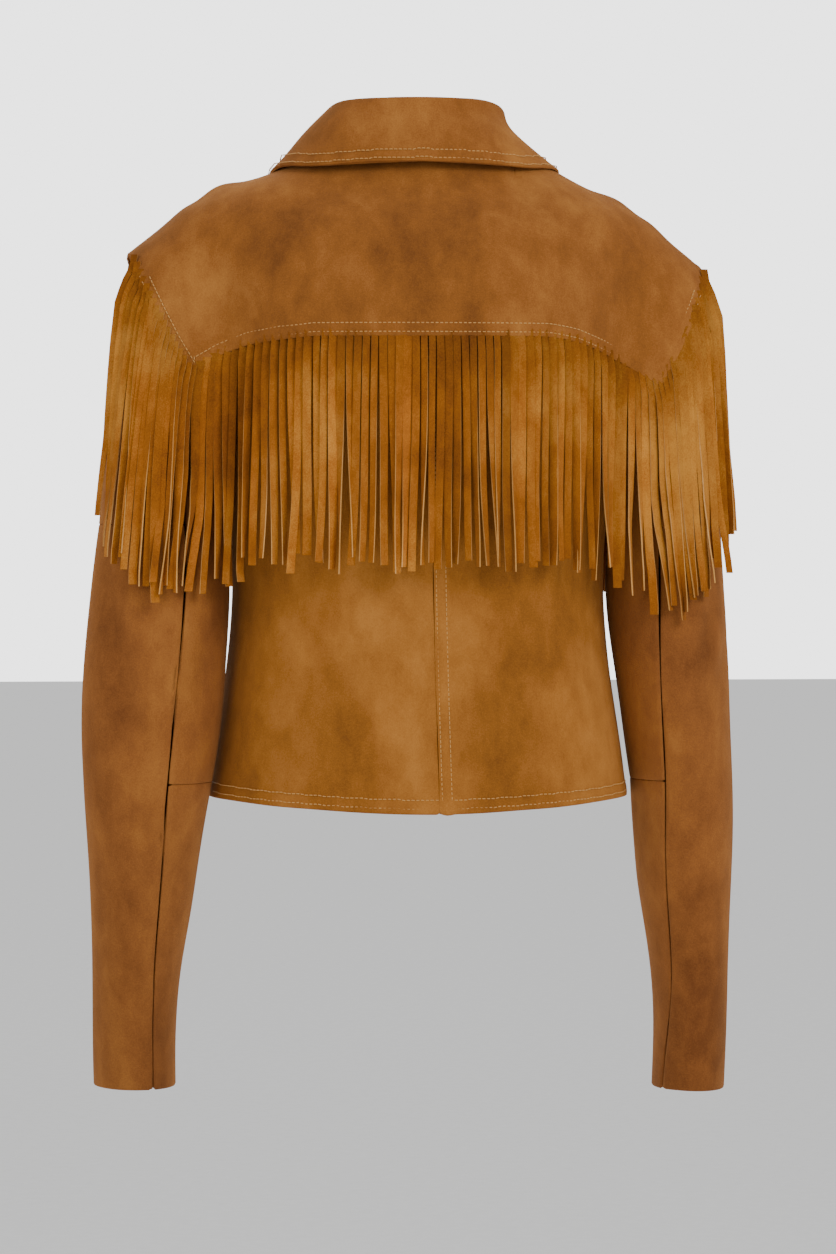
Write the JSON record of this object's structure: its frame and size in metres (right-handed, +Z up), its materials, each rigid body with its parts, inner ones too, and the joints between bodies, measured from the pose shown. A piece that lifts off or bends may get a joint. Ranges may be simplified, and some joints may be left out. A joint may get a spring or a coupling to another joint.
{
  "type": "fringed suede western jacket",
  "caption": "Cropped suede western jacket, hollow as worn, with a pointed back yoke, long cut fringe, shirt collar and two-piece sleeves.",
  "frame": {"origin": "base of the neck, midway between the shoulders, at the height of the shoulder line", "axes": "+Z up, the jacket's front faces -Y and its back faces +Y, the wearer's left is +X"},
  "size_m": [0.4855, 0.2365, 0.7334],
  "materials": {
    "suede": "napped suede, matt",
    "fringe_suede": "napped suede strips with pale cut edges",
    "snap_metal": "aged brass"
  },
  "bodies": {
    "root": {"back_left": "suede", "back_right": "suede", "front_left": "suede", "front_right": "suede", "upper_sleeve_top_left": "suede", "upper_sleeve_top_right": "suede", "upper_sleeve_bottom_left": "suede", "upper_sleeve_bottom_right": "suede", "under_sleeve_top_left": "suede", "under_sleeve_top_right": "suede", "under_sleeve_bottom_left": "suede", "under_sleeve_bottom_right": "suede", "yoke_back": "suede", "yoke_front_left": "suede", "yoke_front_right": "suede", "fringe_back": "fringe_suede", "fringe_front_left": "fringe_suede", "fringe_front_right": "fringe_suede", "collar_leaf": "suede", "collar_stand": "suede", "snap_1": "snap_metal", "snap_2": "snap_metal", "snap_3": "snap_metal", "snap_4": "snap_metal", "snap_5": "snap_metal", "snap_6": "snap_metal"}
  },
  "joints": []
}
